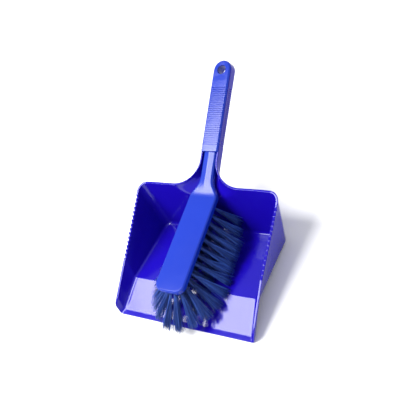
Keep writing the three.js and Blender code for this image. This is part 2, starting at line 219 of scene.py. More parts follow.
ROOT_DROP = 0.6  # share of the pull that goes straight down, and the rest along the tuft
ROOT_ALONG = 0.4
TIP_PULL = 0.3
TIP_SPLAY = 0.45
THICKNESS = (0.85, 1.15)
UPRIGHT = 0.05
SEED = 7

# ---- Looks: linear colours, lengths in metres ----
PAN_BLUE = (0.010, 0.003, 0.35, 1)
PAN_BLUE_DEEP = (0.008, 0.002, 0.31, 1)
BRUSH_BLUE = (0.005, 0.030, 0.37, 1)
BRUSH_BLUE_DEEP = (0.004, 0.026, 0.34, 1)
FILAMENT_DARK = (0.003, 0.012, 0.09, 1)
FILAMENT_LIGHT = (0.040, 0.110, 0.50, 1)
FILAMENT_WORN = (0.03, 0.10, 0.42, 1)
TABLE_LOW = (0.90, 0.90, 0.90, 1)
TABLE_HIGH = (0.93, 0.93, 0.93, 1)
CLOUD_SCALE = 14
HAZE_SCALE = 38
WAVE_SCALE = 9
WAVE_HEIGHT = 0.35
SCUFF_STRETCH = (60, 900, 60)
PLASTIC_BUMP = (0.25, 0.0004)  # strength and distance
FILAMENT_GRAIN = 400
FILAMENT_BUMP = (0.2, 0.0002)
FILAMENT_TONE_POWER = 1.6  # above 1, most filaments are dark
PLASTIC_IOR = 1.5
PLASTIC_SPECULAR = 0.34
FILAMENT_SPECULAR = 0.3
TABLE_ROUGHNESS = 0.8

# ---- Camera and stage: degrees, metres, watts ----
AZIMUTH = 51.90
ELEVATION = 44.96
ROLL = -36.89
CAMERA_DISTANCE = 0.8789
CAMERA_TARGET = (0.0051, 0.1503, 0.0864)  # from the middle of the mouth edge
SENSOR = 36
LENS = 58.5
TABLE_HALF = 3.0
WORLD_COLOR = (0.95, 0.96, 1.0, 1)
WORLD_STRENGTH = 0.75
OVERHEAD_PLACE = (-0.8, -0.56, 1.6)
OVERHEAD_SIZE = (1.3, 0.88)
OVERHEAD_POWER = 64


def clamp(x, low=0.0, high=1.0):
    return max(low, min(high, x))


def lerp(a, b, t):
    return a + (b - a) * t


def between(y, y0, v0, y1, v1):
    """v0 up to y0, v1 from y1 on, and a straight change from one to the other."""
    return lerp(v0, v1, clamp((y - y0) / (y1 - y0)))


def smooth(t):
    t = clamp(t)
    return t * t * (3 - 2 * t)


# ---- Mesh helpers ----
def rounded(corners, radii, arc_steps, line_steps):
    """A polyline through corners, its inner ones rounded, always with the same number of points."""
    line = [corners[0]]
    for i in range(1, len(corners) - 1):
        p = corners[i]
        a, b = corners[i - 1] - p, corners[i + 1] - p
        u, v = a.normalized(), b.normalized()
        half = max(u.angle(v, math.pi) / 2, 1e-3)
        most = CORNER_SHARE * min(a.length, b.length)
        reach = min(radii[i - 1] / math.tan(half), most)
        start, end = p + u * reach, p + v * reach
        arc = []
        turn = math.pi - 2 * half
        if turn < 1e-3:
            arc = [start.lerp(end, k / arc_steps[i - 1]) for k in range(arc_steps[i - 1] + 1)]
        else:
            centre = p + (u + v).normalized() * (reach / math.cos(half))
            sa, sb = start - centre, end - centre
            for k in range(arc_steps[i - 1] + 1):
                f = k / arc_steps[i - 1]
                w = math.sin((1 - f) * turn) * sa + math.sin(f * turn) * sb
                arc.append(centre + w / math.sin(turn))
        straight(line, arc[0], line_steps[i - 1])
        line.extend(arc[1:])
    straight(line, corners[-1], line_steps[-1])
    return line


def straight(line, end, steps):
    start = line[-1]
    for k in range(1, steps + 1):
        line.append(start.lerp(end, k / steps))


class Shell:
    """Quads collected from grids of points, welded into one mesh at the end."""

    def __init__(self):
        self.points = []
        self.faces = []

    def grid(self, rows):
        """rows of equal length; the left half is the same grid mirrored in X."""
        for sign in (1, -1):
            base = len(self.points)
            wide = len(rows[0])
            for row in rows:
                self.points.extend(Vector((sign * p.x, p.y, p.z)) for p in row)
            for r in range(len(rows) - 1):
                for c in range(wide - 1):
                    a = base + r * wide + c
                    quad = (a, a + 1, a + wide + 1, a + wide)
                    self.faces.append(quad if sign > 0 else quad[::-1])

    def object(self, name, material):
        mesh = bpy.data.meshes.new(name)
        mesh.from_pydata([to_frame(p) for p in self.points], [], self.faces)
        bm = bmesh.new()
        bm.from_mesh(mesh)
        bmesh.ops.remove_doubles(bm, verts=bm.verts, dist=WELD * MM)
        bmesh.ops.dissolve_degenerate(bm, edges=bm.edges, dist=WELD * MM)
        bmesh.ops.recalc_face_normals(bm, faces=bm.faces)
        bm.to_mesh(mesh)
        bm.free()
        return finish_mesh(name, mesh, material)


def finish_mesh(name, mesh, material):
    mesh.polygons.foreach_set("use_smooth", [True] * len(mesh.polygons))
    mesh.set_sharp_from_angle(angle=math.radians(SHARP_DEGREES))
    mesh.materials.clear()
    mesh.materials.append(material)
    obj = bpy.data.objects.new(name, mesh)
    bpy.context.scene.collection.objects.link(obj)
    weighted = obj.modifiers.new("weighted", "WEIGHTED_NORMAL")
    weighted.weight = 100
    weighted.keep_sharp = True
    return obj


# ---- Frames of the handle and of the brush ----
def along(angle):
    return Vector((0, math.cos(angle), math.sin(angle)))


def up(angle):
    return Vector((0, -math.sin(angle), math.cos(angle)))


def handle_point(x, s, h):
    base = Vector((x, BACK_Y, BACK_Z))
    return base + along(HANDLE_TILT) * s + up(HANDLE_TILT) * h


BRUSH_BASE = handle_point(0, HEAD_BASE_S, HEAD_BASE_H)


def brush_point(x, q, h):
    """q runs along the brush: below 0 on the head, above 0 on the neck and grip."""
    if q <= -BEND_REACH:
        return BRUSH_BASE + along(HEAD_TILT) * q + up(HEAD_TILT) * h + Vector((x, 0, 0))
    if q >= BEND_REACH:
        return BRUSH_BASE + along(HANDLE_TILT) * q + up(HANDLE_TILT) * h + Vector((x, 0, 0))
    radius = BEND_REACH / math.tan((HANDLE_TILT - HEAD_TILT) / 2)
    centre = BRUSH_BASE - along(HEAD_TILT) * BEND_REACH + up(HEAD_TILT) * radius
    angle = lerp(HEAD_TILT, HANDLE_TILT, (q + BEND_REACH) / (2 * BEND_REACH))
    return centre + up(angle) * (h - radius) + Vector((x, 0, 0))


# ---- Pan ----
def floor_under(y):
    rise = BEND_Z / (BEND_Y - LIP_Y)
    fall = -BEND_Z / (HEEL_Y - BEND_Y)
    if y < LIP_Y or y > HEEL_Y:
        return 0.0
    d = y - BEND_Y
    if d < -BEND_SOFT:
        return BEND_Z + rise * d
    if d > BEND_SOFT:
        return BEND_Z + fall * d
    return BEND_Z + rise * d + (fall - rise) * (d + BEND_SOFT) ** 2 / (4 * BEND_SOFT)


def floor_top(y):
    return floor_under(y) + between(y, 0, LIP_EDGE, LIP_Y, WALL)


def floor_half(y):
    return between(y, 0, MOUTH_HALF, BEND_Y, FLOOR_HALF)


def rim_at(y, column):
    if y < RIM_STEP[1]:
        return between(y, RIM_FRONT[1], RIM_FRONT[column], RIM_STEP[1], RIM_STEP[column])
    return between(y, RIM_STEP[1], RIM_STEP[column], RIM_BACK[1], RIM_BACK[column])


def side_corners(foot_y, rim_y, notch=0.0, lowered=0.0):
    taper = smooth(foot_y / LIP_Y)
    wall = lerp(MOUTH_WALL, WALL, taper)
    rim_wall = lerp(MOUTH_WALL, RIM_WALL, taper)
    foot = Vector((floor_half(foot_y), foot_y, floor_under(foot_y)))
    foot_in = Vector((foot.x - wall, foot_y, floor_top(foot_y)))
    rim = Vector((rim_at(rim_y, 0), rim_y, rim_at(rim_y, 2)))
    rim_in = Vector((rim.x - rim_wall, rim_y, rim.z))
    share = (notch + lowered) / (rim - foot).length
    inside = foot.x - FLOOR_CORNER
    return [
        Vector((inside, foot_y, foot.z)),
        foot,
        rim.lerp(foot, share),
        rim_in.lerp(foot_in, share),
        foot_in,
        Vector((inside, foot_y, foot_in.z)),
    ]


def corner_corners(angle):
    out, back = math.cos(angle), math.sin(angle)
    foot_y, rim_y = CREASE_Y - FLOOR_CORNER, BACK_Y - RIM_CORNER
    foot_x = FLOOR_HALF - FLOOR_CORNER
    rim_x = rim_at(rim_y, 0) - RIM_CORNER

    def place(x, y, radius, height):
        py = y + radius * back
        return Vector((x + radius * out, py, height(py)))

    return [
        Vector((foot_x, foot_y, floor_under(foot_y))),
        place(foot_x, foot_y, FLOOR_CORNER, floor_under),
        place(rim_x, rim_y, RIM_CORNER, lambda y: rim_at(y, 2)),
        place(rim_x, rim_y, RIM_CORNER - RIM_WALL, lambda y: rim_at(y, 2)),
        place(foot_x, foot_y, FLOOR_CORNER - WALL, floor_top),
        Vector((foot_x, foot_y, floor_top(foot_y))),
    ]


def back_corners(foot_x, rim_x):
    foot_y = CREASE_Y - FLOOR_CORNER
    return [
        Vector((foot_x, foot_y, floor_under(foot_y))),
        Vector((foot_x, CREASE_Y, 0)),
        Vector((rim_x, BACK_Y, BACK_Z)),
        Vector((rim_x, BACK_Y - RIM_WALL, BACK_Z)),
        Vector((foot_x, CREASE_Y - WALL, WALL)),
        Vector((foot_x, foot_y, floor_top(foot_y))),
    ]


# Arc and line steps of the sections, in the order of their corners.
TRAY_RADII = [FOOT_ROUND, RIM_ROUND, RIM_ROUND, FOOT_ROUND_IN]
TRAY_ARCS = [6, 3, 3, 6]
TRAY_LINES = [1, 12, 2, 12, 1]
OUT_WALL_END = TRAY_LINES[0] + TRAY_ARCS[0] + TRAY_LINES[1]  # under the rim's rounding
IN_WALL_START = OUT_WALL_END + TRAY_ARCS[1] + TRAY_LINES[2] + TRAY_ARCS[2]


def tray_profile(corners):
    return rounded(corners, TRAY_RADII, TRAY_ARCS, TRAY_LINES)


def tray_stations():
    """Sections of the right half of the tray, from the mouth round to the flare."""
    stations = []
    for k in range(FRONT_STEPS + 1):
        angle = k / FRONT_STEPS * math.pi / 2
        y = FRONT_ROUND * (1 - math.cos(angle))
        lowered = FRONT_ROUND * (1 - math.sin(angle))
        stations.append(side_corners(y, RIM_FRONT[1] + y * FRONT_LEAN, 0, lowered))
    for foot_y in APRON_STATIONS:
        if foot_y <= LIP_Y:
            rim_y = between(foot_y, 0, RIM_FRONT[1], LIP_Y, RIM_OVER_LIP)
        else:
            rim_y = between(foot_y, LIP_Y, RIM_OVER_LIP, BEND_Y, RIM_STEP[1])
        stations.append(side_corners(foot_y, rim_y))
    tooth_steps = len(TOOTH_SHAPE)
    count = tooth_steps * TEETH
    for k in range(count + 1):
        foot_y = lerp(BEND_Y, TEETH_FLOOR_END, k / count)
        rim_y = lerp(RIM_STEP[1], TEETH_END_Y, k / count)
        notch = TOOTH_DEPTH * TOOTH_SHAPE[k % tooth_steps]
        stations.append(side_corners(foot_y, rim_y, notch))
    stations.append(side_corners(*LAST_SIDE_STATION))
    for k in range(CORNER_STEPS + 1):
        stations.append(corner_corners(k / CORNER_STEPS * math.pi / 2))
    foot_x = FLOOR_HALF - FLOOR_CORNER
    rim_x = rim_at(BACK_Y - RIM_CORNER, 0) - RIM_CORNER
    for k in range(1, BACK_STEPS + 1):
        t = k / BACK_STEPS
        stations.append(back_corners(lerp(foot_x, FLARE_X, t), lerp(rim_x, FLARE_X, t)))
    return [tray_profile(c) for c in stations]


HANDLE_RADII = [SOLE_ROUND, RIM_ROUND, RIM_ROUND, HOLLOW_ROUND]
HANDLE_ARCS = [5, 3, 3, 5]
HANDLE_LINES = [4, 7, 2, 7, 4]
SIDE_FOOT = HANDLE_LINES[0] + 2  # a point on the rounding between sole and outer side
SIDE_TOP = HANDLE_LINES[0] + HANDLE_ARCS[0] + HANDLE_LINES[1]  # under the rim's rounding
SIDE_TOP_IN = SIDE_TOP + HANDLE_ARCS[1] + HANDLE_LINES[2] + HANDLE_ARCS[2]


def hole_target(turn):
    """The plan point on the hang hole at this angle; below -90 degrees, the middle line."""
    return HOLE_RADIUS * math.cos(turn), HOLE_S + HOLE_RADIUS * math.sin(turn)


def ring_directions(s, turn, approach):
    """Which way a ring faces in plan, and its point on the middle line or on the hang hole."""
    if turn is not None:
        return math.cos(turn), math.sin(turn), hole_target(turn)
    if approach is not None:
        return 1.0, 0.0, hole_target(approach)
    return 1.0, 0.0, (0.0, s)


def handle_profile(s, turn=None, approach=None):
    """The channel's section at s, or turned about the hang hole's axis at the round end."""
    out, back, middle = ring_directions(s, turn, approach)

    def place(radius, h):
        return handle_point(radius * out, s + radius * back, h)

    return rounded([
        handle_point(middle[0], middle[1], -HANDLE_DEPTH),
        place(HANDLE_FOOT_HALF, -HANDLE_DEPTH),
        place(HANDLE_HALF, 0),
        place(HANDLE_HALF - WALL, 0),
        place(HANDLE_FOOT_HALF - WALL, WALL - HANDLE_DEPTH),
        handle_point(middle[0], middle[1], WALL - HANDLE_DEPTH),
    ], HANDLE_RADII, HANDLE_ARCS, HANDLE_LINES)


def rib_wave(s):
    """0 on a rib's flat crest and outside the ribbed stretch, 1 at the bottom of a groove."""
    if not RIB_FIRST <= s <= RIB_LAST:
        return 0.0
    phase = (s - RIB_FIRST) / RIB_PITCH % 1
    return clamp((RIB_HALF - abs(phase - 0.5)) / RIB_SLOPE)


def rib_places():
    """Places along the ribbed stretch at every change of slope, with a plain one at each end."""
    flat = RIB_HALF - RIB_SLOPE
    steps = (0, 0.5 - RIB_HALF, 0.5 - flat, 0.5 + flat, 0.5 + RIB_HALF)
    places = [RIB_FIRST - RIB_MARGIN]
    places += [RIB_FIRST + (k + step) * RIB_PITCH for k in range(RIB_COUNT) for step in steps]
    return places + [RIB_LAST, RIB_LAST + RIB_MARGIN]


def round_end(place_ring):
    """Rings that close in on the hang hole and then turn round the end of the handle."""
    rings = []
    for k in range(APPROACH_STEPS + 1):
        t = k / APPROACH_STEPS
        rings.append(place_ring(lerp(APPROACH_S, HOLE_S, t), approach=(t - 1) * math.pi / 2))
    for k in range(1, END_STEPS + 1):
        rings.append(place_ring(HOLE_S, turn=k / END_STEPS * math.pi / 2))
    return rings


def handle_stations():
    """Sections along the handle from the end of the flare to the round end."""
    sections = []
    for s in [*PLAIN_HANDLE, *rib_places(), HANDLE_LAST]:
        row = handle_profile(s)
        groove = RIB_DEPTH * rib_wave(s)
        for i in range(SIDE_FOOT, SIDE_TOP - 1):
            row[i] = row[i] - Vector((groove, 0, 0))
        sections.append(row)
    return sections + round_end(handle_profile), len(sections)


def bezier(a, b, c, d, t):
    u = 1 - t
    return a * u ** 3 + b * 3 * u * u * t + c * 3 * u * t * t + d * t ** 3


def wall_point(x, drop, inner):
    """A point on the back wall's outer or inner face, drop below the rim along the wall."""
    if inner:
        top = Vector((x, BACK_Y - RIM_WALL, BACK_Z))
        foot = Vector((x, CREASE_Y - WALL, WALL))
    else:
        top = Vector((x, BACK_Y, BACK_Z))
        foot = Vector((x, CREASE_Y, 0))
    return top + (foot - top).normalized() * drop


def funnel_starts(count, first, inner, depth):
    """Where the flare leaves the back wall, from the rim to the middle, and which way it leaves.

    The places are on a quarter arch on the wall's face; first is the point under the rim."""
    reach = (wall_point(0, BACK_Z, inner) - wall_point(0, 0, inner)).normalized()
    down = (first - wall_point(first.x, 0, inner)).dot(reach)
    starts = []
    for k in range(count):
        f = k / (count - 1)
        angle = f * math.pi / 2
        x = first.x * math.cos(angle) ** ARCH_POWER
        drop = down + (depth - down) * math.sin(angle)
        way = Vector((-math.cos(angle), 0, 0)) - reach * math.sin(angle)
        starts.append((wall_point(x, drop, inner), way.normalized(), f))
    return starts


def funnel(stations, sections):
    """Rows from the back wall's arches to the first section of the straight handle."""
    rim_row = stations[-1]
    end_row = sections[0]
    rim_out = rim_row[OUT_WALL_END]
    out_starts = funnel_starts(SIDE_TOP + 1, rim_out, False, ARCH_DEPTH_OUT)[::-1]
    in_count = len(end_row) - SIDE_TOP_IN
    in_starts = funnel_starts(in_count, rim_row[IN_WALL_START], True, ARCH_DEPTH_IN)
    starts = list(out_starts)
    for i in range(SIDE_TOP + 1, SIDE_TOP_IN):
        starts.append((rim_row[OUT_WALL_END + i - SIDE_TOP], Vector((-1, 0, 0)), 0.0))
    starts += in_starts
    handle = along(HANDLE_TILT)
    rows = []
    for r in range(FLARE_STEPS + 1):
        row = []
        for (start, way, f), end in zip(starts, end_row):
            leave = way * lerp(*FLARE_LEAVE, smooth(f))
            arrive = handle * lerp(*FLARE_ARRIVE, smooth(f))
            row.append(bezier(start, start + leave, end - arrive, end, r / FLARE_STEPS))
        rows.append(row)
    return rows, [p for p, _, _ in out_starts], [p for p, _, _ in in_starts]


def back_wall(stations, arch_out, arch_in):
    """Columns of the back wall under the flare, from the floor to the arches, on both faces."""
    foot_y = CREASE_Y - FLOOR_CORNER
    outside, inside = [], []
    for top in arch_out[::-1]:
        floor_end = Vector((top.x, foot_y, floor_under(foot_y)))
        corners = [floor_end, Vector((top.x, CREASE_Y, 0)), top]
        outside.append(rounded(corners, TRAY_RADII[:1], TRAY_ARCS[:1], TRAY_LINES[:2]))
    for top in arch_in:
        floor_end = Vector((top.x, foot_y, floor_top(foot_y)))
        corners = [top, Vector((top.x, CREASE_Y - WALL, WALL)), floor_end]
        inside.append(rounded(corners, TRAY_RADII[3:], TRAY_ARCS[3:], TRAY_LINES[3:]))
    outside[0] = stations[-1][:OUT_WALL_END + 1]
    inside[0] = stations[-1][IN_WALL_START:]
    return outside, inside


def floor_rows(stations, index, middle):
    """The floor between the sides: rows shaped like the back edge, scaled to each station."""
    side_count = len(stations) - BACK_STEPS - CORNER_STEPS
    back = [row[index] for row in stations[side_count - 1 + CORNER_STEPS:]] + middle[1:]
    rows = []
    for station in stations[:side_count]:
        edge = station[index]
        scale = edge.x / back[0].x
        rows.append([Vector((p.x * scale, edge.y, edge.z)) for p in back])
    return rows


def pan_shell():
    shell = Shell()
    stations = tray_stations()
    sections, straight_count = handle_stations()
    rows, arch_out, arch_in = funnel(stations, sections)
    shell.grid(stations)
    shell.grid(rows)
    shell.grid(sections)
    shell.grid([[row[0], row[-1]] for row in sections[straight_count:]])  # the hang hole
    outside, inside = back_wall(stations, arch_out, arch_in)
    shell.grid(outside)
    shell.grid(inside)
    under = floor_rows(stations, 0, [column[0] for column in outside])
    over = floor_rows(stations, -1, [column[-1] for column in inside])
    shell.grid(under)
    shell.grid(over)
    shell.grid([under[0], over[0]])
    first = stations[0]
    shell.grid([[first[i], first[-1 - i]] for i in range(len(first) // 2)])  # the wall's front
    return shell


# ---- Brush body ----
def brush_outline():
    """Plan of the brush's right half, as (x, q), from the tip to the grip's collar."""
    points = []
    flat = HEAD_TIP_HALF - HEAD_CORNER
    for k in range(TIP_STEPS + 1):
        x = flat * k / TIP_STEPS
        points.append((x, HEAD_BOW * (x / HEAD_TIP_HALF) ** 2 - HEAD_LENGTH))
    edge = points[-1][1]
    for k in range(1, HEAD_CORNER_STEPS + 1):
        a = k / HEAD_CORNER_STEPS * math.pi / 2
        points.append((flat + HEAD_CORNER * math.sin(a), edge + HEAD_CORNER * (1 - math.cos(a))))
    side_start = points[-1][1]
    for k in range(1, HEAD_SIDE_STEPS + 1):
        t = k / HEAD_SIDE_STEPS
        points.append((lerp(HEAD_TIP_HALF, HEAD_HALF, t), lerp(side_start, SHOULDER_Q, t)))
    # the rounded shoulder, then the curve into the neck
    points.append((HEAD_HALF - SHOULDER_POINT[0], SHOULDER_Q + SHOULDER_POINT[1]))
    a, b = [Vector((HEAD_HALF - inset, q, 0)) for inset, q in SHOULDER_CURVE]
    c = Vector((NECK_HALF, NECK_CURVE_Q, 0))
    d = Vector((NECK_HALF, NECK_START, 0))
    for k in range(SHOULDER_STEPS + 1):
        p = bezier(a, b, c, d, k / SHOULDER_STEPS)
        points.append((p.x, p.y))
    for k in range(1, NECK_STEPS + 1):
        points.append((NECK_HALF, lerp(NECK_START, COLLAR, k / NECK_STEPS)))
    return points


BRUSH_ARCS = [4, 4, 3, 3]
BRUSH_LINES = [8, 1, 5, 1, 3]


def section(outline, inward, middle, top, bottom, bevel, ridge, crown, radius, low_bevel):
    """One station's ring, from the middle line of the top face round to the bottom's."""
    ox, oq = outline
    ix, iq = ox + inward[0] * bevel, oq + inward[1] * bevel
    jx, jq = ox + inward[0] * low_bevel, oq + inward[1] * low_bevel
    corners = [
        brush_point(middle[0], middle[1], top),
        brush_point(max(ix, middle[0]), iq, top),
        brush_point(ox, oq, top - bevel),
        brush_point(ox, oq, bottom + low_bevel),
        brush_point(jx, jq, bottom),
        brush_point(middle[0], middle[1], bottom),
    ]
    ring = rounded(corners, [radius] * len(BRUSH_ARCS), BRUSH_ARCS, BRUSH_LINES)
    face = BRUSH_LINES[0]
    normal = brush_point(ox, oq, 1) - brush_point(ox, oq, 0)
    for i in range(face + 1):
        f = i / face
        ring[i] = ring[i] + normal * (ridge * (1 - f) + crown * (1 - f * f))
    return ring


def unit(x, y):
    size = math.hypot(x, y) or 1.0
    return x / size, y / size


def brush_rings():
    """Rings of the head and the neck, from the tip to the collar."""
    plan = brush_outline()
    rings = []
    for i, (x, q) in enumerate(plan):
        before = plan[max(i - 1, 0)]
        after = plan[min(i + 1, len(plan) - 1)]
        if i == 0:
            before = (-after[0], after[1])
        tx, tq = unit(after[0] - before[0], after[1] - before[1])
        neck = smooth((q - NECK_BLEND[0]) / NECK_BLEND[1])
        top = -NECK_SINK * neck
        bottom = top - lerp(HEAD_DEPTH, NECK_DEPTH, neck)
        bevel = lerp(HEAD_BEVEL, NECK_BEVEL, neck)
        crown = HEAD_CROWN * (1 - neck)
        edge = lerp(HEAD_EDGE, NECK_EDGE, neck)
        middle = (0.0, max(q, TIP_MIDDLE_Q))
        rings.append(section(
            (x, q), (-tq, tx), middle, top, bottom, bevel, NECK_RIDGE * neck, crown, edge,
            LOW_BEVEL))
    return rings


def grip_rings(half, top, bottom, ribbed):
    """Rings of one layer of the grip, from its front to its round end; heights from the rim."""
    bevel = PLATE_BEVEL if ribbed else TONGUE_BEVEL

    def ring(s, inset=0.0, turn=None, approach=None):
        out, back, middle = ring_directions(s, turn, approach)
        radius = half - inset
        place = (radius * out, s - HEAD_BASE_S + radius * back)
        middle = (middle[0], middle[1] - HEAD_BASE_S)
        level = top - HEAD_BASE_H - inset
        crown = 0.0
        if ribbed:
            fall = clamp((s + radius * back - PLATE_FALL[0]) / PLATE_FALL[1]) ** 2
            level -= RIB_DEPTH * rib_wave(s) + fall
            if turn is None and approach is None:
                crown = PLATE_CROWN
        return section(
            place, (-out, -back), middle, level, bottom - HEAD_BASE_H, bevel, 0, crown,
            GRIP_EDGE, GRIP_LOW_BEVEL)

    rings = [ring(GRIP_START + on, inset) for on, inset in COLLAR_EDGE]
    rings += [ring(s) for s in (*PLAIN_GRIP, *rib_places(), *PLAIN_GRIP_END)]
    return rings + round_end(ring), len(rings)


def brush_shell():
    """The head, neck and tongue in one piece, and the ribbed plate over the tongue."""
    shell = Shell()
    half = HANDLE_HALF - WALL - FIT_GAP
    sole = FIT_GAP + WALL - HANDLE_DEPTH
    tongue, straight_count = grip_rings(half, TONGUE_TOP, sole, False)
    plate, _ = grip_rings(PLATE_HALF, GRIP_PROUD, FIT_GAP, True)
    shell.grid(brush_rings() + tongue)
    shell.grid(plate)
    front = plate[0]
    shell.grid([[front[i], front[-1 - i]] for i in range(len(front) // 2)])
    for rings in (tongue, plate):
        shell.grid([[row[0], row[-1]] for row in rings[straight_count:]])
    return shell


# ---- Tufts ----
def tuft_places():
    places = []

    def row(x, start, end):
        d = start
        while d <= end:
            places.append((x, d))
            if x > 0:
                places.append((-x, d))
            d += ROW_PITCH

    row(OUTER_X, ROW_START, ROW_END)
    row(INNER_X, ROW_START + ROW_PITCH / 2, ROW_END)
    row(0, ROW_START, ROW_END)
    for degrees in ARC_DEGREES:
        a = math.radians(degrees)
        x, d = OUTER_X * math.cos(a), FAN_START + (FAN_LENGTH - FAN_MARGIN) * math.sin(a)
        places += [(x, d), (-x, d)]
    for d in INNER_TIP_ROWS:
        places += [(INNER_X, d), (-INNER_X, d)]
    places += [(0, d) for d in MIDDLE_TIP_ROWS]
    return places


def head_point(x, d, h):
    return BRUSH_BASE - along(HEAD_TILT) * d + up(HEAD_TILT) * h + Vector((x, 0, 0))


def tuft_end(x, d):
    across = x / OUTER_X
    ahead = clamp((d - FAN_START) / FAN_LENGTH)
    gain = between(d, SPREAD_GAIN[0], 0, FAN_START, SPREAD_GAIN[1]) * (1 - ahead * ahead)
    side = between(d, *SPREAD_START, *SPREAD_FULL) + gain
    lean = between(d, *LEAN_START, *LEAN_MOST)
    if d > LEAN_MOST[0]:
        lean = between(d, *LEAN_MOST, *LEAN_END)
    forward = lerp(lean, TIP_REACH, ahead)
    return head_point(x + side * across, d + forward, -HEAD_DEPTH - lerp(DROP, TIP_DROP, ahead))


def tuft_directions(root, end):
    """Along the tuft, level across it, and square to both."""
    way = (end - root).normalized()
    outwards = Vector((way.x, way.y, 0))
    wide = Vector((0, 1, 0))
    if outwards.length > UPRIGHT:
        wide = Vector((-outwards.y, outwards.x, 0))
    wide = (wide - way * wide.dot(way)).normalized()
    return way, wide, way.cross(wide)


def add_filament(points, faces, line, spin, thick, wide, thin):
    """A closed tube along line, thinner towards its tip."""
    base = len(points)
    for i, centre in enumerate(line):
        t = i / (len(line) - 1)
        radius = thick * lerp(1.0, FILAMENT_TAPER, t * t)
        for side in range(FILAMENT_SIDES):
            turn = spin + side * 2 * math.pi / FILAMENT_SIDES
            offset = wide * math.cos(turn) + thin * math.sin(turn)
            points.append(to_frame(centre + offset * radius))
    for i in range(len(line) - 1):
        for side in range(FILAMENT_SIDES):
            a = base + i * FILAMENT_SIDES + side
            b = base + i * FILAMENT_SIDES + (side + 1) % FILAMENT_SIDES
            faces.append((a, b, b + FILAMENT_SIDES, a + FILAMENT_SIDES))
    last = base + (len(line) - 1) * FILAMENT_SIDES
    faces.append(tuple(range(last, last + FILAMENT_SIDES)))
    faces.append(tuple(range(base, base + FILAMENT_SIDES))[::-1])


def tuft_mesh(name, x, d, rng):
    """A tuft's filaments, from inside the head's hole to their splayed tips."""
    root = head_point(x, d, -HEAD_DEPTH)
    deep = up(HEAD_TILT) * (HOLE_DEPTH - 1)
    end = tuft_end(x, d)
    way, wide, thin = tuft_directions(root, end)
    drop = -up(HEAD_TILT)
    length = (end - root).length
    ahead = clamp((d - FAN_START) / FAN_LENGTH)
    stray_share = STRAY_SHARE if d < FAN_START else STRAY_SHARE_TIP
    points, faces = [], []
    for _ in range(FILAMENTS):
        radius = math.sqrt(rng.random())
        angle = rng.random() * 2 * math.pi
        a, b = radius * math.cos(angle), radius * math.sin(angle)
        across = Vector((1, 0, 0)) * (a * ROOT_RADIUS)
        across += along(HEAD_TILT) * (b * ROOT_RADIUS)
        start = root + across
        stray = STRAY_SPLAY if rng.random() < stray_share else 1.0
        splay_wide = SPLAY_WIDE * a * stray + rng.gauss(0, WANDER_WIDE)
        splay_thin = SPLAY_THIN * b * stray + rng.gauss(0, WANDER_THIN)
        reach = rng.uniform(-UNEVEN, UNEVEN) + TIP_EXTRA * ahead
        tip = end + wide * splay_wide + thin * splay_thin + way * reach
        bow = rng.gauss(0, BOW)
        bow_side = rng.gauss(0, BOW)
        pull = ROOT_PULL * length
        first = start + drop * pull * ROOT_DROP + way * pull * ROOT_ALONG
        second = tip - way * (TIP_PULL * length)
        second = second - wide * splay_wide * TIP_SPLAY - thin * splay_thin * TIP_SPLAY
        second += wide * bow_side + thin * bow
        spin = rng.random() * 2 * math.pi
        thick = FILAMENT_RADIUS * rng.uniform(*THICKNESS)
        line = [start + deep]
        for k in range(FILAMENT_STEPS + 1):
            line.append(bezier(start, first, second, tip, k / FILAMENT_STEPS))
        add_filament(points, faces, line, spin, thick, wide, thin)
    mesh = bpy.data.meshes.new(name)
    mesh.from_pydata(points, [], faces)
    mesh.polygons.foreach_set("use_smooth", [True] * len(mesh.polygons))
    mesh.update()
    return mesh


# ---- Materials ----
class Nodes:
    def __init__(self, name):
        self.material = bpy.data.materials.new(name)
        self.material.use_nodes = True
        self.tree = self.material.node_tree
        self.shader = self.tree.nodes["Principled BSDF"]
        self.place = self.tree.nodes.new("ShaderNodeTexCoord").outputs["Object"]

    def add(self, kind, inputs=None, **settings):
        node = self.tree.nodes.new(kind)
        for key, value in settings.items():
            setattr(node, key, value)
        for key, value in (inputs or {}).items():
            if isinstance(value, bpy.types.NodeSocket):
                self.tree.links.new(value, node.inputs[key])
            else:
                node.inputs[key].default_value = value
        return node

    def noise(self, scale, detail=3.0, rough=0.5, vector=None):
        node = self.add("ShaderNodeTexNoise", {
            "Vector": vector or self.place, "Scale": scale, "Detail": detail, "Roughness": rough})
        return node.outputs["Fac"]

    def ramp(self, value, low, high, to_low, to_high):
        node = self.add("ShaderNodeMapRange", {
            "Value": value, "From Min": low, "From Max": high, "To Min": to_low, "To Max": to_high})
        return node.outputs["Result"]

    def mix(self, factor, a, b):
        node = self.add("ShaderNodeMix", data_type="RGBA")
        for index, value in ((0, factor), (6, a), (7, b)):
            if isinstance(value, bpy.types.NodeSocket):
                self.tree.links.new(value, node.inputs[index])
            else:
                node.inputs[index].default_value = value
        return node.outputs[2]

    def math(self, operation, a, b):
        return self.add("ShaderNodeMath", {0: a, 1: b}, operation=operation).outputs[0]

    def link(self, socket, value):
        self.tree.links.new(value, self.shader.inputs[socket])

    def bump(self, height, strength, distance):
        node = self.add("ShaderNodeBump", {
            "Height": height, "Strength": strength, "Distance": distance})
        self.link("Normal", node.outputs["Normal"])


